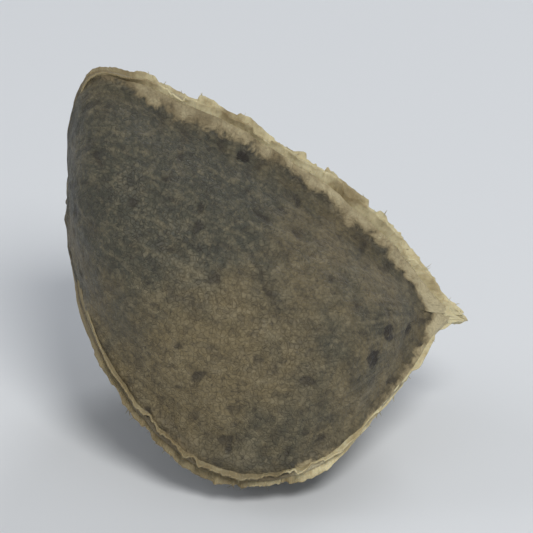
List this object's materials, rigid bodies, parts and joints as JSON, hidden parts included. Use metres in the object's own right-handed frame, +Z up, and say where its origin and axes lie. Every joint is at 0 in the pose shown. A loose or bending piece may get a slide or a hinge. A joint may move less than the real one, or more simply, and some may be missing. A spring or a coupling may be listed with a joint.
{
  "type": "moringa seed",
  "caption": "Dry moringa seed: a hard, three-cornered, pointed coat with the torn root of a papery wing along each corner, lying on one face.",
  "frame": {"origin": "on the surface that the seed lies on, under the middle of its bounding box", "axes": "+X towards the pointed tip, +Z up, with one wing root along the top and the other two low at the front (-Y) and the back (+Y)"},
  "size_m": [0.0102, 0.0092, 0.0101],
  "materials": {
    "seed_coat": "matte, dark grey-brown, finely wrinkled and scuffed",
    "wing_root": "dry, papery, cream to tan, fibrous where torn"
  },
  "bodies": {
    "root": {"moringa_seed": "seed_coat"}
  },
  "joints": []
}
